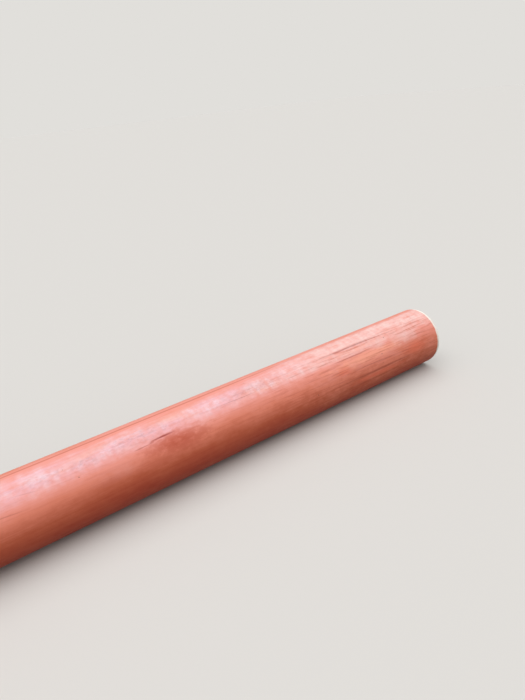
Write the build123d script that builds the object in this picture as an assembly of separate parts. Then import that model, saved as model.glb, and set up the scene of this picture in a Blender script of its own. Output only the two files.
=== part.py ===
from build123d import *
import os
from math import radians, tan

# A PVC-U sewer pipe: a plain barrel with a chamfered spigot at its +X end and a formed
# socket at its -X end. The socket's chamber holds a rubber ring with a sealing lip.
# Millimetres, Z up. The axis runs along X, and the origin lies under the middle of the
# pipe, level with the lowest point of the socket's bead.

# Barrel and spigot
outer_diameter = 200
barrel_wall = 5.9
laying_length = 3000        # from the spigot's tip to the root of the socket
chamfer_length = 9
chamfer_angle = 15          # degrees from the axis

# Socket, seen from its mouth inwards
socket_clearance = 0.4      # radial, round a spigot of the same diameter
socket_depth = 101          # from the mouth to the root, where a spigot stops
socket_wall = 5.4
lead_in_length = 4
lead_in_rise = 1.8
mouth_chamfer = 1
shoulder_run = 16           # the cone from the socket's root down to the bore
shoulder_round = 12

# Chamber in the socket that holds the ring, and the bead that it makes outside
chamber_start = 12          # from the mouth
chamber_width = 22
chamber_depth = 7.4
chamber_wall = 4.6
flank_run = 2.6             # how far each flank leans along the axis
chamber_round = 2
bead_round = 5.5
bead_foot_round = 4

# Rubber ring, its lip pressed back as round a spigot in place
seat_clearance = 0.15       # between the ring and the chamber
lip_clearance = 0.05        # between the lip and a spigot of the same diameter
leg_thickness = 3
heel_length = 6.5           # the solid part of the ring, on the side of the mouth
heel_recess = 1.6           # radial, from the lip out to the foot of the heel
lip_thickness = 1.8
lip_end_gap = 4             # from the lip's edge to the far end of the chamber
heel_round = 6

# Radii and places that follow
outer_radius = outer_diameter / 2
bore_radius = outer_radius - barrel_wall
socket_radius = outer_radius + socket_clearance
chamber_radius = socket_radius + chamber_depth
bead_radius = chamber_radius + chamber_wall
lip_radius = outer_radius + lip_clearance
total_length = laying_length + socket_depth
tip_x = total_length / 2
mouth_x = -total_length / 2
root_x = mouth_x + socket_depth
chamber_near_x = mouth_x + chamber_start
chamber_far_x = chamber_near_x + chamber_width
axis_height = bead_radius


# Each run of a broken line is moved outwards by its own distance, and neighbours meet.
def offset_line(points, distances):
    runs = []
    for start, end, distance in zip(points, points[1:], distances):
        along = (end - start).normalized()
        outwards = Vector(-along.Y, along.X)
        runs.append((start + outwards * distance, along))
    corners = [runs[0][0]]
    for (start, along), (next_start, next_along) in zip(runs, runs[1:]):
        reach = (next_start - start).cross(next_along).Z / along.cross(next_along).Z
        corners.append(start + along * reach)
    last_start, last_along = runs[-1]
    corners.append(last_start + last_along * (points[-1] - points[-2]).length)
    return corners


# The point of a sloping line that lies at one radius
def at_radius(start, end, radius):
    return start + (end - start) * ((radius - start.Y) / (end.Y - start.Y))


# The point of a line that lies at one distance from its start
def at_distance(start, end, distance):
    return start + (end - start).normalized() * distance


# A section with its corners given as X and radius, each with its round, turned about
# the pipe's axis
def turned(corners):
    points, rounds = zip(*corners)
    outline = FilletPolyline(*points, radius=rounds, close=True)
    section = Plane.XZ * make_face(outline)
    return Pos(0, 0, axis_height) * revolve(section, Axis.X)


chamber = [
    Vector(chamber_near_x, socket_radius),
    Vector(chamber_near_x + flank_run, chamber_radius),
    Vector(chamber_far_x - flank_run, chamber_radius),
    Vector(chamber_far_x, socket_radius),
]


def make_pipe():
    mouth = Vector(mouth_x, socket_radius)
    root = Vector(root_x, socket_radius)
    shoulder_end = Vector(root_x + shoulder_run, bore_radius)
    tip = Vector(tip_x, bore_radius)
    inside = [mouth, *chamber, root, shoulder_end, tip]
    flank_wall = (socket_wall + chamber_wall) / 2
    shoulder_wall = (socket_wall + barrel_wall) / 2
    chamber_walls = [flank_wall, chamber_wall, flank_wall]
    walls = [socket_wall, *chamber_walls, socket_wall, shoulder_wall, barrel_wall]
    outside = offset_line(inside, walls)
    outer_mouth, *outer_chamber, outer_root, outer_shoulder_end, _ = outside
    near_foot, near_top, far_top, far_foot = outer_chamber

    # The mouth opens inside as a lead-in, and the spigot is chamfered outside.
    chamfer_drop = chamfer_length * tan(radians(chamfer_angle))
    corners = [
        (Vector(mouth_x, socket_radius + lead_in_rise), 0),
        (Vector(mouth_x + lead_in_length, socket_radius), 0),
        *[(corner, chamber_round) for corner in chamber],
        (root, shoulder_round),
        (shoulder_end, shoulder_round),
        (tip, 0),
        (Vector(tip_x, outer_radius - chamfer_drop), 0),
        (Vector(tip_x - chamfer_length, outer_radius), 0),
        (outer_shoulder_end, shoulder_round),
        (outer_root, shoulder_round),
        (far_foot, bead_foot_round),
        (far_top, bead_round),
        (near_top, bead_round),
        (near_foot, bead_foot_round),
        (outer_mouth + Vector(mouth_chamfer, 0), 0),
        (outer_mouth - Vector(0, mouth_chamfer), 0),
    ]
    return turned(corners)


def make_seal_ring():
    near_foot, near_top, far_top, far_foot = offset_line(chamber, [-seat_clearance] * 3)
    heel_radius = lip_radius + heel_recess
    leg_radius = far_top.Y - leg_thickness
    groove_x = chamber_near_x + flank_run + heel_length
    lip_edge_x = chamber_far_x - lip_end_gap
    lip_top = lip_radius + lip_thickness
    groove_radius = (leg_radius + lip_top) / 2
    seat_chamfer = chamber_round    # keeps the ring's corners out of the chamber's rounds
    corners = [
        (at_radius(near_foot, near_top, heel_radius), 0),
        (at_distance(near_top, near_foot, seat_chamfer), 0),
        (at_distance(near_top, far_top, seat_chamfer), 0),
        (at_distance(far_top, near_top, seat_chamfer), 0),
        (at_distance(far_top, far_foot, seat_chamfer), 0),
        (at_radius(far_foot, far_top, leg_radius), 0),
        (Vector(groove_x, groove_radius), 0),
        (Vector(lip_edge_x, lip_top), 0),
        (Vector(lip_edge_x, lip_radius), 0),
        (Vector(groove_x, lip_radius), heel_round),
    ]
    return turned(corners)


os.makedirs("parts", exist_ok=True)
export_step(make_pipe(), "parts/pipe.step")
export_step(make_seal_ring(), "parts/seal_ring.step")
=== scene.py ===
import math

import bmesh
import bpy
from mathutils import Matrix


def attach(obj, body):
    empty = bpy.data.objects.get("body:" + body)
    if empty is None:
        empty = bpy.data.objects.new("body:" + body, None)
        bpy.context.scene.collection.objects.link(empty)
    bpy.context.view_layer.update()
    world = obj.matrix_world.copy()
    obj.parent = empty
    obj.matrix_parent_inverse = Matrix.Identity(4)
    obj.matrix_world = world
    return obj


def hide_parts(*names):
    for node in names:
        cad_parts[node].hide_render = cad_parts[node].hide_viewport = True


# A 200 mm PVC-U sewer pipe that has lain outdoors for years. The spigot is at +X, the
# socket with its rubber ring at -X. Sizes in the dictionaries are millimetres, where no
# comment says otherwise.
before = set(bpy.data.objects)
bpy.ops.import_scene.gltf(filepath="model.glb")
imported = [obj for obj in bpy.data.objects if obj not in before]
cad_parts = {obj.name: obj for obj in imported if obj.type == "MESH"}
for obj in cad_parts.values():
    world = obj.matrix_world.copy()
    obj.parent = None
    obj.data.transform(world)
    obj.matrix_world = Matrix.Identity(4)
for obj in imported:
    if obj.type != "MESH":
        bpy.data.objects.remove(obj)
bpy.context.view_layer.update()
axisHeight = 0.1124     # metres from the floor to the pipe's axis
barrelRadius = 100
print("frame loaded:", sorted(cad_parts))


# An sRGB hex colour as linear red, green, blue and alpha
def toLinear(hexColour):
    shares = [int(hexColour[i:i + 2], 16) / 255 for i in (1, 3, 5)]
    return *[c / 12.92 if c < 0.04045 else ((c + 0.055) / 1.055) ** 2.4 for c in shares], 1


# Adds one node. Inputs are a list for its live sockets in order, or a dictionary by name,
# and a node given as an input is read at its first live output.
def addNode(tree, kind, inputs, **settings):
    node = tree.nodes.new("ShaderNode" + kind)
    stops = settings.pop("stops", [])
    for name, value in settings.items():
        setattr(node, name, value)
    for position, _ in stops[2:]:
        node.color_ramp.elements.new(position)
    for number, (position, colour) in enumerate(stops):
        element = node.color_ramp.elements[number]
        element.position = position
        element.color = toLinear(colour) if isinstance(colour, str) else [colour] * 3 + [1]
    live = [socket for socket in node.inputs if socket.enabled]
    named = inputs.items() if isinstance(inputs, dict) else enumerate(inputs)
    for key, value in named:
        socket = live[key] if isinstance(key, int) else next(s for s in live if s.name == key)
        if isinstance(value, bpy.types.Node):
            value = next(output for output in value.outputs if output.enabled)
        if isinstance(value, bpy.types.NodeSocket):
            tree.links.new(value, socket)
        else:
            socket.default_value = toLinear(value) if isinstance(value, str) else value
    return node


# The empty node tree of a material or of the world
def emptyTree(owner):
    owner.use_nodes = True
    owner.node_tree.nodes.clear()
    return owner.node_tree


# Camera, where the photograph was taken from
photoCamera = {
    "place": (-0.0025, -1.276, 0.9754),     # metres
    "heading": 34.1,        # degrees, from +Y towards +X
    "lookDown": 24.1,
    "roll": -5.6,
    "lens": 29.57,
    "clipEnd": 200,         # metres
}
bpy.ops.object.camera_add(location=photoCamera["place"])
camera = bpy.context.object
camera.data.lens = photoCamera["lens"]
camera.data.clip_end = photoCamera["clipEnd"]
turn = Matrix.Rotation(math.radians(-photoCamera["heading"]), 4, "Z")
tip = Matrix.Rotation(math.radians(90 - photoCamera["lookDown"]), 4, "X")
roll = Matrix.Rotation(math.radians(photoCamera["roll"]), 4, "Z")
camera.rotation_euler = (turn @ tip @ roll).to_euler()
bpy.context.scene.camera = camera
bpy.context.scene.view_settings.view_transform = "Standard"
print("camera placed")


# Floor, open sky and two broad soft lamps
studio = {
    "floorSize": 60,        # metres
    "floorTilt": 0.2315,    # degrees: the bead and the spigot both touch the floor
    "beadX": -1.5275,       # metres
    "floorSeen": "#DDDBD8",
    "floorBounce": "#7C7A77",   # what the floor gives back to the pipe
    "skySeen": "#E1DFDB",
    "skyStrength": 0.43,        # how strongly the sky lights the pipe
    # Lamps: degrees wide, and the height and side in degrees that the light comes from
    "lamps": [
        {"name": "overhead", "strength": 1.8, "wide": 90, "height": 86, "side": 180},
        {"name": "front", "strength": 0.75, "wide": 140, "height": 32, "side": 190},
    ],
}


# 1 where the camera sees the surface directly, in a reflection or through glass
def seenDirectly(tree):
    path = addNode(tree, "LightPath", []).outputs
    mirrored = addNode(tree, "Math", [path["Is Glossy Ray"], path["Is Transmission Ray"]],
                       operation="MAXIMUM")
    return addNode(tree, "Math", [path["Is Camera Ray"], mirrored], operation="MAXIMUM")


bpy.ops.mesh.primitive_plane_add(size=studio["floorSize"])
floor = bpy.context.object
floor.name = "studio_floor"
floor.rotation_euler.y = -math.radians(studio["floorTilt"])
floor.location.z = -studio["beadX"] * math.tan(math.radians(studio["floorTilt"]))
floorPaper = bpy.data.materials.new("studio paper")
tree = emptyTree(floorPaper)
shown = addNode(tree, "Mix", [seenDirectly(tree), studio["floorBounce"], studio["floorSeen"]],
                data_type="RGBA")
paper = addNode(tree, "BsdfDiffuse", [shown])
addNode(tree, "OutputMaterial", [paper])
floor.data.materials.append(floorPaper)

world = bpy.data.worlds.new("studio sky")
bpy.context.scene.world = world
tree = emptyTree(world)
strength = addNode(tree, "Mix", [seenDirectly(tree), studio["skyStrength"], 1],
                   data_type="FLOAT")
sky = addNode(tree, "Background", [studio["skySeen"], strength])
addNode(tree, "OutputWorld", [sky])

for lamp in studio["lamps"]:
    bpy.ops.object.light_add(type="SUN")
    light = bpy.context.object
    light.name = lamp["name"]
    light.data.energy = lamp["strength"]
    light.data.angle = math.radians(lamp["wide"])
    aside = Matrix.Rotation(math.radians(lamp["side"] + 90), 4, "Z")
    down = Matrix.Rotation(math.radians(90 - lamp["height"]), 4, "Y")
    light.rotation_euler = (aside @ down).to_euler()
print("studio set")


# Modelling by rings: a circle is drawn round the axis, then extruded and scaled from one
# corner of the section to the next, and the ring edges at the corners are bevelled.
mergeWithin = 0.00001       # metres
ringWithin = 0.00002


def drawRings(name, shape):
    corners = shape["corners"]
    x, radius, _ = corners[0]
    bpy.ops.object.select_all(action="DESELECT")
    bpy.ops.mesh.primitive_circle_add(
        vertices=shape["sides"], radius=radius / 1000, location=(x / 1000, 0, axisHeight),
        rotation=(0, math.radians(90), 0))
    piece = bpy.context.object
    piece.name = piece.data.name = name
    bpy.ops.object.transform_apply(location=True, rotation=True, scale=True)
    bpy.ops.object.mode_set(mode="EDIT")
    bpy.ops.mesh.select_all(action="SELECT")
    for nextX, nextRadius, _ in [*corners[1:], corners[0]]:
        bpy.ops.mesh.extrude_region_move(
            TRANSFORM_OT_translate={"value": ((nextX - x) / 1000, 0, 0)})
        bpy.ops.transform.resize(
            value=(1, nextRadius / radius, nextRadius / radius),
            center_override=(nextX / 1000, 0, axisHeight))
        x, radius = nextX, nextRadius
    bpy.ops.mesh.select_all(action="SELECT")
    bpy.ops.mesh.remove_doubles(threshold=mergeWithin)
    return piece


def selectEdges(piece, isWanted):
    bpy.ops.mesh.select_all(action="DESELECT")
    mesh = bmesh.from_edit_mesh(piece.data)
    for edge in mesh.edges:
        edge.select_set(isWanted(edge))
    mesh.select_flush_mode()
    bmesh.update_edit_mesh(piece.data)


def isOnRing(vertex, x, radius):
    fromAxis = math.hypot(vertex.co.y, vertex.co.z - axisHeight)
    return (abs(vertex.co.x - x / 1000) < ringWithin and
            abs(fromAxis - radius / 1000) < ringWithin)


def roundCorners(piece, shape):
    corners = shape["corners"]
    closed = [corners[-1], *corners, corners[0]]
    for before, corner, after in zip(closed, closed[1:], closed[2:]):
        x, radius, rounding = corner
        way = math.atan2(radius - before[1], x - before[0])
        nextWay = math.atan2(after[1] - radius, after[0] - x)
        bend = abs(math.remainder(nextWay - way, math.tau))
        selectEdges(piece, lambda edge: all(isOnRing(v, x, radius) for v in edge.verts))
        bpy.ops.mesh.bevel(
            offset=rounding / 1000 * math.tan(bend / 2), offset_type="OFFSET",
            segments=shape["roundSegments"], profile=0.5, affect="EDGES",
            clamp_overlap=False)


def finishPiece(piece, shape):
    bpy.ops.mesh.select_all(action="SELECT")
    bpy.ops.mesh.normals_make_consistent(inside=False)
    bpy.ops.object.mode_set(mode="OBJECT")
    bpy.ops.object.shade_smooth_by_angle(angle=math.radians(shape["sharpAbove"]))
    bpy.ops.object.modifier_add(type="WEIGHTED_NORMAL")
    piece.modifiers[-1].keep_sharp = True
    bpy.ops.object.modifier_apply(modifier=piece.modifiers[-1].name)


# Pipe: corners of its wall as (x, radius, round), from the spigot's bore outwards, over
# the barrel to the socket's mouth and back through the chamber
pipeShape = {
    "sides": 256,
    "roundSegments": 7,
    "sharpAbove": 14,       # degrees
    "longEdge": 1,          # metres: only the edges along the barrel are longer
    "barrelCuts": 29,       # which divide those about every 100 mm
    "corners": [
        (1550.5, 94.1, 0.5), (1550.5, 97.59, 0.4), (1541.5, 100, 1.5),
        (-1433.1, 100, 12), (-1447.8, 105.8, 12),
        (-1513.1, 105.8, 4), (-1515.4, 112.4, 5.5),
        (-1539.6, 112.4, 5.5), (-1541.9, 105.8, 4),
        (-1549.5, 105.8, 0.5), (-1550.5, 104.8, 0.5), (-1550.5, 102.2, 0.5),
        (-1546.5, 100.4, 0.5), (-1538.5, 100.4, 2), (-1535.9, 107.8, 2),
        (-1519.1, 107.8, 2), (-1516.5, 100.4, 2),
        (-1449.5, 100.4, 12), (-1433.5, 94.1, 12),
    ],
}


def makePipe(shape):
    pipe = drawRings("pipe_barrel_and_socket", shape)
    roundCorners(pipe, shape)
    selectEdges(pipe, lambda edge: edge.calc_length() > shape["longEdge"])
    bpy.ops.mesh.subdivide(number_cuts=shape["barrelCuts"])
    finishPiece(pipe, shape)
    return pipe


pipe = makePipe(pipeShape)
print("pipe made:", len(pipe.data.polygons), "faces")

# Sealing ring: heel towards the mouth, leg along the chamber, lip pressed back
ringShape = {
    "sides": 256,
    "roundSegments": 4,
    "sharpAbove": 24,
    "corners": [
        (-1537.85, 101.65, 0.7), (-1535.8, 107.65, 2), (-1519.2, 107.65, 2),
        (-1518.15, 104.65, 1), (-1529.4, 103.25, 0.6), (-1520.5, 101.85, 0.8),
        (-1520.5, 100.05, 0.6), (-1529.4, 100.05, 6),
    ],
}


def makeSealRing(shape):
    ring = drawRings("rubber_lip_ring", shape)
    roundCorners(ring, shape)
    finishPiece(ring, shape)
    return ring


ring = makeSealRing(ringShape)
print("sealing ring made:", len(ring.data.polygons), "faces")

# PVC-U, extruded and coloured through, its skin bleached and chalked where it faced the
# sun. Seen: matt pink-white chalk on top, coral below it, deep orange-brown underneath.
pvc = {
    # Places along the pipe are metres. Degrees run round it, from its top towards the
    # camera's side. A range is two numbers, and where four are given it becomes the
    # last two. A band rises between its first two numbers and falls between its last
    # two. A sway is a pattern, two of its values, and how far something moves down at
    # the one and up at the other.

    # Sizes along and round the pipe, and degrees of twist in each metre. The lines that
    # the die left and the grit are finer on a real pipe, and are drawn coarse to show.
    "patterns": {
        "patches": {"along": 210, "around": 80, "detail": 3, "roughness": 0.5, "twist": 0},
        "blush": {"along": 95, "around": 42, "detail": 4, "roughness": 0.55, "twist": 0},
        "mottle": {"along": 24, "around": 15, "detail": 5, "roughness": 0.62, "twist": 0},
        "grain": {"along": 11, "around": 8, "detail": 4, "roughness": 0.65, "twist": 20},
        "wipes": {"along": 22, "around": 90, "detail": 4, "roughness": 0.6, "twist": 60},
        "fringe": {"along": 160, "around": 7, "detail": 4, "roughness": 0.65, "twist": 12},
        "brush": {"along": 100, "around": 5.4, "detail": 4, "roughness": 0.62, "twist": -8},
        "dieLines": {"along": 900, "around": 2.4, "detail": 2, "roughness": 0.5, "twist": 0},
        "grit": {"along": 1.3, "around": 1.3, "detail": 2, "roughness": 0.5, "twist": 0},
    },
    "nearStart": (0.38, 0.05),      # towards the socket the chalk is broader
    "endStart": (0.72, 1.12),       # the spigot's end has weathered in another way

    # Skin from fresh to bleached, and how far it has bleached at so many degrees. Behind the
    # crest, from about -19 to -42 degrees, the skin is darker partly because it faded less and
    # partly as painted shade of a neighbouring pipe; the back shift at the end makes that strip
    # paler towards the spigot.
    "skin": [(0, "#A6432F"), (0.12, "#BB4E37"), (0.34, "#CB6548"), (0.66, "#E9886F"),
             (1, "#F6A092")],
    "bleachAndShade": [(-180, 0.12), (-110, 0.15), (-70, 0.27), (-42, 0.45), (-28, 0.66),
                 (-19, 0.9), (-10, 1), (12, 1), (40, 0.98), (54, 0.82), (67, 0.59),
                 (80, 0.38), (94, 0.24), (110, 0.16), (140, 0.12), (180, 0.12)],
    "nearShift": 5,                 # degrees that the bleaching reaches further down
    "endShift": (40, 110, 0, 26),
    "endBackShift": (-12, -50, 0, 30),
    "bleachEdgeSway": [("patches", 0, 1, 11), ("fringe", 0, 1, 5)],
    "blotchSway": [("mottle", 0, 1, 0.12), ("fringe", 0.3, 0.7, 0.06)],
    "cloudSway": [("blush", 0.3, 0.7, 0.06), ("dieLines", 0, 1, 0.06)],
    "wornBand": (-40, 0, 115, 150),
    "wornBlotches": 2.1,            # how much stronger the blotches are there, at the end

    # A darker line along the crest, at the upper edge of the chalk, and how much of it shows
    "crest": "#D97C68",
    "crestLine": (-10, -8, -6.5, -3.5),
    "crestShows": (-0.45, 0.02, 0.25, 0.8),
    "endCrestShows": 0.2,

    # Where the chalk lies, and what breaks it up
    "chalkBand": (-5, 20, 25, 53),
    "nearChalkBand": (-6, 23, 30, 58),
    "endChalkBand": (-13, -3, 19, 28),
    "endHazeBand": (20, 26, 36, 46),
    "endHaze": 0.7,
    "chalkEdgeSway": [("fringe", 0, 1, 9), ("patches", 0, 1, 5)],
    "chalkMottle": (0.34, 0.6, 0.55, 1),
    "chalkSway": [("wipes", 0.3, 0.7, 0.18), ("fringe", 0.3, 0.7, 0.22)],

    # Its colour: warm to cool, smeared and wiped paler, with dust in its grain. Its cool lilac
    # tint and palest whites are partly chalk and partly a painted reflection of the sky.
    "chalkWarm": "#F8BDB3",
    "chalkCool": "#F7BEC5",
    "endChalk": "#FACAC4",
    "coolPatches": (0.3, 0.5),
    "nearCool": 0.35,
    "paleWarm": "#FCD9D3",
    "paleCool": "#FBD9E1",
    "smearsAndSheen": {"wipes": 0.6, "range": (0.73, 1, 0, 0.75)},
    "wipedAndSheen": {"wipes": 0.7, "range": (0.66, 0.92, 0.25, 1)},
    "chalkGrain": "#CB939A",
    "dust": {"grain": (0.45, 0.75), "amount": (0, 1, 0.25, 0.65), "film": 0.15},

    # Warmer patches, fresher ones, brush streaks, scuffs and specks of dirt. The fresher ones
    # at 0.45 and 0.515 m are partly fresher skin and partly painted shade of plants, and the
    # fresher colour is darkened with them.
    "warm": "#FFAB93",
    "bareAndShadedSkin": "#C9614A",
    "endBare": "#F07A5C",
    "bareMottle": (0.3, 0.6, 0.5, 1),
    "streak": "#C65E45",
    "streakBrush": (0.46, 0.76),
    "streakBand": (0, 36, 104, 122),
    "streakAmount": (0.6, 1.1, 0.18, 0.7),
    "scuff": "#A4433A",
    "scuffBrush": (0.36, 0.54, 0.55, 1),
    "dirt": "#7E4A3C",
    "dirtSpecks": {"spacing": 48, "fade": (0.84, 1.82)},

    # Marks on the skin: their middle at metres along and degrees round, their length and
    # width, their tilt in degrees, and how strongly they show
    "markMottle": (0.25, 0.75),     # the mottle makes their edges ragged
    "markFade": (0.2, 1),           # from and to these shares of their size
    "scuffs": {"ragged": 0.15, "marks": [
        {"at": (0.481, 39.6), "long": 86, "wide": 7.5, "tilt": -1, "depth": 0.9},
        {"at": (0.45, 41.3), "long": 40, "wide": 6, "tilt": -15, "depth": 0.45},
        {"at": (0.42, 43.2), "long": 66, "wide": 5, "tilt": -2, "depth": 0.55},
        {"at": (0.13, 37), "long": 90, "wide": 3, "tilt": 10, "depth": 0.25},
        {"at": (0.08, 55), "long": 110, "wide": 4, "tilt": 5, "depth": 0.35},
        {"at": (0.72, 32), "long": 150, "wide": 4, "tilt": 1.5, "depth": 0.5},
        {"at": (1.17, 23.6), "long": 340, "wide": 11, "tilt": 0.6, "depth": 0.65},
        {"at": (1.31, 26), "long": 180, "wide": 5, "tilt": 1.3, "depth": 0.5},
        {"at": (1.17, 43), "long": 290, "wide": 6.5, "tilt": -0.4, "depth": 0.45},
        {"at": (1.26, 86.3), "long": 460, "wide": 10, "tilt": 0.4, "depth": 0.5},
        {"at": (1.24, 71), "long": 280, "wide": 7, "tilt": 2.4, "depth": 0.35},
        {"at": (1.17, 100), "long": 240, "wide": 6, "tilt": -0.5, "depth": 0.35},
        {"at": (-0.64, 14), "long": 200, "wide": 5, "tilt": 2, "depth": 0.6},
        {"at": (-1.11, 45), "long": 210, "wide": 6, "tilt": -1.5, "depth": 0.55},
        {"at": (-0.35, -62), "long": 240, "wide": 6, "tilt": 2, "depth": 0.5},
    ]},
    # The patches at 0.515 and 0.45 m are partly painted shade of plants
    "bareAndShadedPatches": {"ragged": 0.35, "marks": [
        {"at": (0.515, 55), "long": 250, "wide": 80, "tilt": 4, "depth": 1},
        {"at": (0.45, 71), "long": 190, "wide": 44, "tilt": 0, "depth": 0.35},
        {"at": (1.102, 63), "long": 80, "wide": 44, "tilt": 0, "depth": 0.65},
        {"at": (1.43, 76), "long": 140, "wide": 60, "tilt": 0, "depth": 0.85},
        {"at": (1.24, 94), "long": 330, "wide": 24, "tilt": 0.3, "depth": 0.8},
        {"at": (-0.42, 48), "long": 150, "wide": 50, "tilt": -8, "depth": 0.6},
    ]},
    "pinkPatches": {"ragged": 0.35, "marks": [
        {"at": (0.34, 61), "long": 200, "wide": 50, "tilt": 0, "depth": 0.12},
        {"at": (1.275, 42), "long": 110, "wide": 36, "tilt": 0, "depth": 0.6},
        {"at": (1.4, 42), "long": 190, "wide": 88, "tilt": 0, "depth": 0.85},
        {"at": (1.52, 30), "long": 100, "wide": 90, "tilt": 0, "depth": 0.6},
        {"at": (-0.95, 36), "long": 130, "wide": 36, "tilt": 4, "depth": 0.4},
    ]},
    "warmPatches": {"ragged": 0.35, "marks": [
        {"at": (1.22, 54), "long": 480, "wide": 48, "tilt": 0, "depth": 0.9},
        {"at": (1.18, 33), "long": 260, "wide": 18, "tilt": 0, "depth": 0.75},
    ]},
    "palePatches": {"ragged": 0.45, "marks": [
        {"at": (0.17, 22), "long": 150, "wide": 50, "tilt": 8, "depth": 1},
        {"at": (0.37, 18), "long": 80, "wide": 30, "tilt": -10, "depth": 0.7},
        {"at": (0.45, 15), "long": 50, "wide": 18, "tilt": 0, "depth": 0.6},
        {"at": (0.66, 20), "long": 120, "wide": 34, "tilt": 6, "depth": 0.7},
        {"at": (-0.18, 26), "long": 150, "wide": 40, "tilt": -6, "depth": 0.8},
        {"at": (-0.86, 12), "long": 180, "wide": 44, "tilt": 5, "depth": 0.8},
    ]},
    "dustPatches": {"ragged": 0.35, "marks": [
        {"at": (0.425, 27), "long": 280, "wide": 76, "tilt": 3, "depth": 1},
        {"at": (0.29, 31), "long": 170, "wide": 44, "tilt": 0, "depth": 0.8},
        {"at": (0.17, 27), "long": 170, "wide": 50, "tilt": 0, "depth": 0.5},
        {"at": (0.78, 24), "long": 300, "wide": 60, "tilt": 0, "depth": 0.9},
        {"at": (-0.7, 18), "long": 420, "wide": 60, "tilt": 0, "depth": 0.9},
    ]},

    # Bore, which the sun never reached. It is found by how far its faces look outwards,
    # which is the radius in metres and less than 0 inside.
    "inside": "#B4553A",
    "insideLine": "#CB6548",
    "insideFacing": (0, -0.02),
    "insideLines": (0.35, 0.65, 0.1, 0.55),

    # Sawn end faces and the spigot's chamfer, painted pale cream
    "cutEdgePale": "#FFF8EE",
    "endFace": (1.55, 1.5503),
    "endFacePale": (-1, 1, 0.45, 1),    # the mouth's rim is duller than the spigot's
    "chamferStart": (1.5416, 1.5430),
    "chamferRagged": 0.004,             # metres
    "handled": (0.32, 0.56, 0.76, 1),

    # Bare skin to chalk, and how deep each pattern goes
    "roughness": (0.56, 0.8),
    "roughnessSway": [("grain", 0, 1, 0.05)],
    "ior": 1.53,
    "specular": 0.2,
    "relief": {"dieLines": 0.04, "grit": 0.02, "mottle": 0.08},
    "scuffDepth": 0.06,
}


# A mask that rises between two edges and falls between two more
def band(tree, value, edges):
    rise = addNode(tree, "MapRange", [value, *edges[:2]], interpolation_type="SMOOTHSTEP")
    fall = addNode(tree, "MapRange", [value, *edges[2:], 1, 0], interpolation_type="SMOOTHSTEP")
    return addNode(tree, "Math", [rise, fall], operation="MULTIPLY")


# Patterns move a value down and up
def sway(tree, place, value, sways):
    for name, low, high, reach in sways:
        moved = addNode(tree, "MapRange", [place[name], low, high, -reach, reach])
        value = addNode(tree, "Math", [value, moved], operation="ADD")
    return value


# Soft marks with ragged edges on the unrolled skin, the strongest one showing
def marksMask(tree, finish, place, name):
    raggedness = finish[name]["ragged"]
    ragged = addNode(tree, "MapRange", [
        place["mottle"], *finish["markMottle"], -raggedness, raggedness])
    mask = 0
    for mark in finish[name]["marks"]:
        x, degrees = mark["at"]
        framed = addNode(tree, "Mapping", {
            "Vector": place["unrolled"],
            "Location": (x * 1000, math.radians(degrees) * barrelRadius, 0),
            "Rotation": (0, 0, math.radians(mark["tilt"])),
            "Scale": (mark["long"] / 2, mark["wide"] / 2, 1)}, vector_type="TEXTURE")
        reach = addNode(tree, "VectorMath", [framed], operation="LENGTH").outputs["Value"]
        reach = addNode(tree, "Math", [reach, ragged], operation="ADD")
        soft = addNode(tree, "MapRange", [reach, *finish["markFade"], mark["depth"], 0],
                       interpolation_type="SMOOTHSTEP")
        mask = addNode(tree, "Math", [mask, soft], operation="MAXIMUM")
    return mask


# Specks of dirt, scattered over the skin
def specksMask(tree, finish, place):
    spacing = finish["dirtSpecks"]["spacing"]
    fade = [distance / spacing for distance in finish["dirtSpecks"]["fade"]]
    cells = addNode(tree, "TexVoronoi", {
        "Vector": place["centred"], "Scale": 1000 / spacing, "Randomness": 1})
    return addNode(tree, "MapRange", [cells, *fade, 1, 0], interpolation_type="SMOOTHSTEP")


# Where a point lies on the pipe, and every pattern there
def readPlace(tree, finish):
    coordinates = addNode(tree, "TexCoord", []).outputs
    centred = addNode(tree, "Mapping", {
        "Vector": coordinates["Object"], "Location": (0, 0, -axisHeight)})
    parts = addNode(tree, "SeparateXYZ", [centred]).outputs
    nearSide = addNode(tree, "Math", [parts["Y"], -1], operation="MULTIPLY")
    angle = addNode(tree, "Math", [nearSide, parts["Z"]], operation="ARCTAN2")
    alongMm = addNode(tree, "Math", [parts["X"], 1000], operation="MULTIPLY")
    aroundMm = addNode(tree, "Math", [angle, barrelRadius], operation="MULTIPLY")
    place = {
        "centred": centred, "along": parts["X"], "normal": coordinates["Normal"],
        "degrees": addNode(tree, "Math", [angle], operation="DEGREES"),
        "unrolled": addNode(tree, "CombineXYZ", [alongMm, aroundMm]),
        "atNear": addNode(tree, "MapRange", [parts["X"], *finish["nearStart"]]),
        "atEnd": addNode(tree, "MapRange", [parts["X"], *finish["endStart"]],
                         interpolation_type="SMOOTHSTEP"),
    }
    for name, pattern in finish["patterns"].items():
        turnBy = addNode(tree, "Math", [parts["X"], math.radians(pattern["twist"])],
                         operation="MULTIPLY")
        twisted = addNode(tree, "VectorRotate", {"Vector": centred, "Angle": turnBy},
                          rotation_type="X_AXIS")
        sized = addNode(tree, "Mapping", {"Vector": twisted, "Scale": (
            1000 / pattern["along"], 1000 / pattern["around"], 1000 / pattern["around"])})
        place[name] = addNode(tree, "TexNoise", {
            "Vector": sized, "Scale": 1, "Detail": pattern["detail"],
            "Roughness": pattern["roughness"]})
    return place
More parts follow.
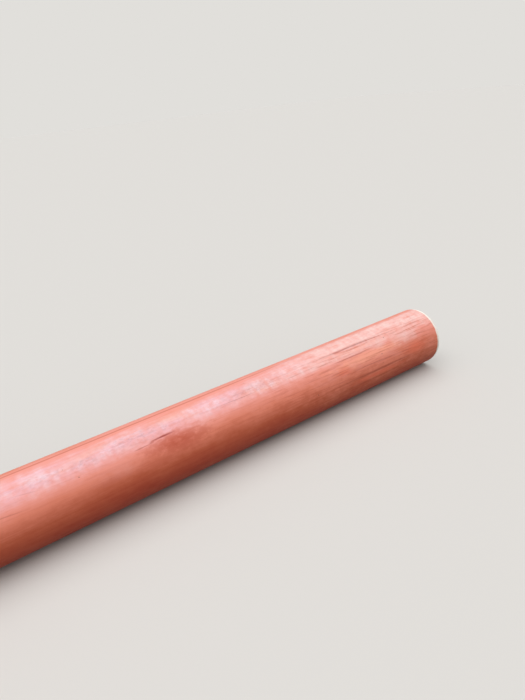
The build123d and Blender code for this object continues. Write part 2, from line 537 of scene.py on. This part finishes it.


# Skin colour by how far it has bleached, darker behind the crest partly as painted shade of a
# neighbouring pipe
def skinByBleachAndShade(tree, finish, place):
    lower = addNode(tree, "MapRange", [place["degrees"], *finish["endShift"]])
    back = addNode(tree, "MapRange", [place["degrees"], *finish["endBackShift"]],
                   interpolation_type="SMOOTHSTEP")
    reach = addNode(tree, "Math", [back, lower], operation="SUBTRACT")
    shifted = addNode(tree, "Math", [place["atEnd"], reach, place["degrees"]],
                      operation="MULTIPLY_ADD")
    shifted = addNode(tree, "Math", [place["atNear"], -finish["nearShift"], shifted],
                      operation="MULTIPLY_ADD")
    shifted = sway(tree, place, shifted, finish["bleachEdgeSway"])
    share = addNode(tree, "MapRange", [shifted, -180, 180])
    bleachAndShade = addNode(tree, "ValToRGB", [share], stops=[
        ((degrees + 180) / 360, amount) for degrees, amount in finish["bleachAndShade"]])
    bleachAndShade.color_ramp.interpolation = "B_SPLINE"
    blotches = sway(tree, place, 0, finish["blotchSway"])
    worn = band(tree, place["degrees"], finish["wornBand"])
    worn = addNode(tree, "Math", [worn, place["atEnd"]], operation="MULTIPLY")
    stronger = addNode(tree, "MapRange", [worn, 0, 1, 1, finish["wornBlotches"]])
    blotches = addNode(tree, "Math", [blotches, stronger], operation="MULTIPLY")
    uneven = addNode(tree, "Math", [bleachAndShade, blotches], operation="ADD")
    uneven = sway(tree, place, uneven, finish["cloudSway"])
    return addNode(tree, "ValToRGB", [uneven], stops=finish["skin"])


# A darker line along the crest, at the upper edge of the chalk
def drawCrestLine(tree, finish, place, colour):
    crest = band(tree, place["degrees"], finish["crestLine"])
    shows = addNode(tree, "MapRange", [place["along"], *finish["crestShows"]],
                    interpolation_type="SMOOTHSTEP")
    shows = addNode(tree, "Mix", [place["atEnd"], shows, finish["endCrestShows"]],
                    data_type="FLOAT")
    crestLineShown = addNode(tree, "Math", [crest, shows], operation="MULTIPLY")
    return addNode(tree, "Mix", [crestLineShown, colour, finish["crest"]], data_type="RGBA")


# Chalk over the top, broken by mottling and by wipes round the pipe
def chalkMask(tree, finish, place):
    edge = sway(tree, place, place["degrees"], finish["chalkEdgeSway"])
    chalk = addNode(tree, "Mix", [
        place["atNear"], band(tree, edge, finish["chalkBand"]),
        band(tree, edge, finish["nearChalkBand"])], data_type="FLOAT")
    endChalk = band(tree, place["degrees"], finish["endChalkBand"])
    chalk = addNode(tree, "Mix", [place["atEnd"], chalk, endChalk], data_type="FLOAT")
    haze = band(tree, edge, finish["endHazeBand"])
    haze = addNode(tree, "Math", [haze, place["atEnd"]], operation="MULTIPLY")
    chalk = addNode(tree, "Math", [haze, finish["endHaze"], chalk], operation="MULTIPLY_ADD")
    pink = marksMask(tree, finish, place, "pinkPatches")
    chalk = addNode(tree, "Math", [chalk, pink], operation="MAXIMUM")
    texture = addNode(tree, "MapRange", [place["mottle"], *finish["chalkMottle"]])
    texture = sway(tree, place, texture, finish["chalkSway"])
    return addNode(tree, "Math", [chalk, texture], operation="MULTIPLY")


# The chalk's colour, its cool tint partly a painted reflection of the sky
def chalkColour(tree, finish, place):
    cool = addNode(tree, "MapRange", [place["patches"], *finish["coolPatches"]],
                   interpolation_type="SMOOTHSTEP")
    cool = addNode(tree, "Math", [place["atNear"], finish["nearCool"], cool],
                   operation="MULTIPLY_ADD")
    tint = addNode(tree, "Mix", [cool, finish["chalkWarm"], finish["chalkCool"]],
                   data_type="RGBA")
    tint = addNode(tree, "Mix", [place["atEnd"], tint, finish["endChalk"]],
                   data_type="RGBA")

    # Smears all over, and patches that were wiped, their palest whites partly chalk and partly
    # a painted reflection of the sky
    smearsAndSheen = addNode(tree, "Math", [place["wipes"], finish["smearsAndSheen"]["wipes"], place["blush"]],
                     operation="MULTIPLY_ADD")
    pale = addNode(tree, "MapRange", [smearsAndSheen, *finish["smearsAndSheen"]["range"]],
                   interpolation_type="SMOOTHSTEP")
    wipedAndSheen = marksMask(tree, finish, place, "palePatches")
    uneven = addNode(tree, "Math", [place["wipes"], finish["wipedAndSheen"]["wipes"], place["mottle"]],
                     operation="MULTIPLY_ADD")
    uneven = addNode(tree, "MapRange", [uneven, *finish["wipedAndSheen"]["range"]])
    wipedAndSheen = addNode(tree, "Math", [wipedAndSheen, uneven], operation="MULTIPLY")
    pale = addNode(tree, "Math", [pale, wipedAndSheen], operation="MAXIMUM")
    palest = addNode(tree, "Mix", [place["atEnd"], finish["paleCool"], finish["paleWarm"]],
                     data_type="RGBA")
    tint = addNode(tree, "Mix", [pale, tint, palest], data_type="RGBA")

    # Dust in the grain, and a thin film of it
    dust = marksMask(tree, finish, place, "dustPatches")
    amount = addNode(tree, "MapRange", [dust, *finish["dust"]["amount"]])
    grain = addNode(tree, "MapRange", [place["grain"], *finish["dust"]["grain"]])
    grain = addNode(tree, "Math", [grain, amount], operation="MULTIPLY")
    grain = addNode(tree, "Math", [dust, finish["dust"]["film"], grain],
                    operation="MULTIPLY_ADD")
    return addNode(tree, "Mix", [grain, tint, finish["chalkGrain"]], data_type="RGBA")


# Fresher skin in patches; those at 0.45 and 0.515 m are partly painted shade of plants
def addBareAndShadedPatches(tree, finish, place, colour):
    freshAndShaded = marksMask(tree, finish, place, "bareAndShadedPatches")
    uneven = addNode(tree, "MapRange", [place["mottle"], *finish["bareMottle"]])
    freshAndShaded = addNode(tree, "Math", [freshAndShaded, uneven], operation="MULTIPLY")
    bareAndShadedSkin = addNode(tree, "Mix", [place["atEnd"], finish["bareAndShadedSkin"], finish["endBare"]],
                   data_type="RGBA")
    return addNode(tree, "Mix", [freshAndShaded, colour, bareAndShadedSkin], data_type="RGBA")


def addStreaks(tree, finish, place, colour):
    streaks = addNode(tree, "MapRange", [place["brush"], *finish["streakBrush"]],
                      interpolation_type="SMOOTHSTEP")
    where = band(tree, place["degrees"], finish["streakBand"])
    amount = addNode(tree, "MapRange", [place["along"], *finish["streakAmount"]])
    streaks = addNode(tree, "Math", [streaks, where], operation="MULTIPLY")
    streaks = addNode(tree, "Math", [streaks, amount], operation="MULTIPLY")
    return addNode(tree, "Mix", [streaks, colour, finish["streak"]], data_type="RGBA")


def scuffMask(tree, finish, place):
    scuffs = marksMask(tree, finish, place, "scuffs")
    broken = addNode(tree, "MapRange", [place["brush"], *finish["scuffBrush"]])
    return addNode(tree, "Math", [scuffs, broken], operation="MULTIPLY")


# 1 on faces that look towards the axis, 0 outside and on the end faces
def insideMask(tree, finish, place):
    across = addNode(tree, "VectorMath", [place["centred"], (0, 1, 1)], operation="MULTIPLY")
    outwards = addNode(tree, "VectorMath", [across, place["normal"]], operation="DOT_PRODUCT")
    return addNode(tree, "MapRange", [outwards, *finish["insideFacing"]])


# The chamfer outside and both end faces, a little rubbed by handling
def cutMask(tree, finish, place, inside):
    ragged = addNode(tree, "Math", [place["mottle"], finish["chamferRagged"], place["along"]],
                     operation="MULTIPLY_ADD")
    onChamfer = addNode(tree, "MapRange", [ragged, *finish["chamferStart"]])
    outside = addNode(tree, "Math", [1, inside], operation="SUBTRACT")
    chamfered = addNode(tree, "Math", [onChamfer, outside], operation="MULTIPLY")
    farOut = addNode(tree, "Math", [place["along"]], operation="ABSOLUTE")
    endFace = addNode(tree, "MapRange", [farOut, *finish["endFace"]])
    paleness = addNode(tree, "MapRange", [place["along"], *finish["endFacePale"]])
    endFace = addNode(tree, "Math", [endFace, paleness], operation="MULTIPLY")
    cut = addNode(tree, "Math", [chamfered, endFace], operation="MAXIMUM")
    handled = addNode(tree, "MapRange", [place["mottle"], *finish["handled"]])
    return addNode(tree, "Math", [cut, handled], operation="MULTIPLY")


def skinRelief(tree, finish, place, scuffs):
    relief = 0
    for name, depth in finish["relief"].items():
        relief = addNode(tree, "Math", [place[name], depth / 1000, relief],
                         operation="MULTIPLY_ADD")
    relief = addNode(tree, "Math", [scuffs, -finish["scuffDepth"] / 1000, relief],
                     operation="MULTIPLY_ADD")
    return addNode(tree, "Bump", {"Height": relief, "Distance": 1, "Strength": 1})


def makeWeatheredPvc(finish):
    material = bpy.data.materials.new("weathered PVC-U")
    tree = emptyTree(material)
    place = readPlace(tree, finish)
    colour = skinByBleachAndShade(tree, finish, place)
    colour = drawCrestLine(tree, finish, place, colour)
    warm = marksMask(tree, finish, place, "warmPatches")
    colour = addNode(tree, "Mix", [warm, colour, finish["warm"]], data_type="RGBA")
    chalk = chalkMask(tree, finish, place)
    colour = addNode(tree, "Mix", [chalk, colour, chalkColour(tree, finish, place)],
                     data_type="RGBA")
    colour = addBareAndShadedPatches(tree, finish, place, colour)
    colour = addStreaks(tree, finish, place, colour)
    scuffs = scuffMask(tree, finish, place)
    colour = addNode(tree, "Mix", [scuffs, colour, finish["scuff"]], data_type="RGBA")
    specks = specksMask(tree, finish, place)
    colour = addNode(tree, "Mix", [specks, colour, finish["dirt"]], data_type="RGBA")
    inside = insideMask(tree, finish, place)
    lines = addNode(tree, "MapRange", [place["dieLines"], *finish["insideLines"]])
    insideSkin = addNode(tree, "Mix", [lines, finish["inside"], finish["insideLine"]],
                         data_type="RGBA")
    colour = addNode(tree, "Mix", [inside, colour, insideSkin], data_type="RGBA")
    cut = cutMask(tree, finish, place, inside)
    colour = addNode(tree, "Mix", [cut, colour, finish["cutEdgePale"]], data_type="RGBA")
    matt = addNode(tree, "Math", [chalk, cut], operation="MAXIMUM")
    roughness = addNode(tree, "MapRange", [matt, 0, 1, *finish["roughness"]])
    roughness = sway(tree, place, roughness, finish["roughnessSway"])
    shader = addNode(tree, "BsdfPrincipled", {
        "Base Color": colour, "Roughness": roughness,
        "Normal": skinRelief(tree, finish, place, scuffs),
        "IOR": finish["ior"], "Specular IOR Level": finish["specular"]})
    addNode(tree, "OutputMaterial", [shader])
    return material


pipe.data.materials.append(makeWeatheredPvc(pvc))

# EPDM rubber, moulded and filled with carbon black. Seen: near black, dull, dusted grey.
# Its grain is finer than this on a real ring, and is drawn coarse to show.
rubber = {
    "black": "#1D1D1E",
    "dusted": "#3C3B3A",
    "dust": {"size": 18, "detail": 4, "roughness": 0.6},
    "dustShows": (0.4, 0.75),
    "grain": {"size": 0.9, "detail": 2, "roughness": 0.5},
    "grainDepth": 0.04,
    "roughness": (0.5, 0.7),
    "ior": 1.52,
}


def makeRubber(finish):
    material = bpy.data.materials.new("EPDM rubber")
    tree = emptyTree(material)
    place = addNode(tree, "TexCoord", []).outputs["Object"]
    dust, grain = [addNode(tree, "TexNoise", {
        "Vector": place, "Scale": 1000 / pattern["size"], "Detail": pattern["detail"],
        "Roughness": pattern["roughness"]}) for pattern in (finish["dust"], finish["grain"])]
    dusty = addNode(tree, "MapRange", [dust, *finish["dustShows"]])
    colour = addNode(tree, "Mix", [dusty, finish["black"], finish["dusted"]], data_type="RGBA")
    rough = addNode(tree, "MapRange", [dusty, 0, 1, *finish["roughness"]])
    bump = addNode(tree, "Bump", {
        "Height": grain, "Distance": finish["grainDepth"] / 1000, "Strength": 1})
    shader = addNode(tree, "BsdfPrincipled", {
        "Base Color": colour, "Roughness": rough, "Normal": bump, "IOR": finish["ior"]})
    addNode(tree, "OutputMaterial", [shader])
    return material


ring.data.materials.append(makeRubber(rubber))
print("materials made")

for piece, node, slot in ((pipe, "pipe", "pvc_orange_brown"), (ring, "seal_ring", "rubber")):
    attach(piece, "root")
    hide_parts(node)

print("pieces ride on the frame")
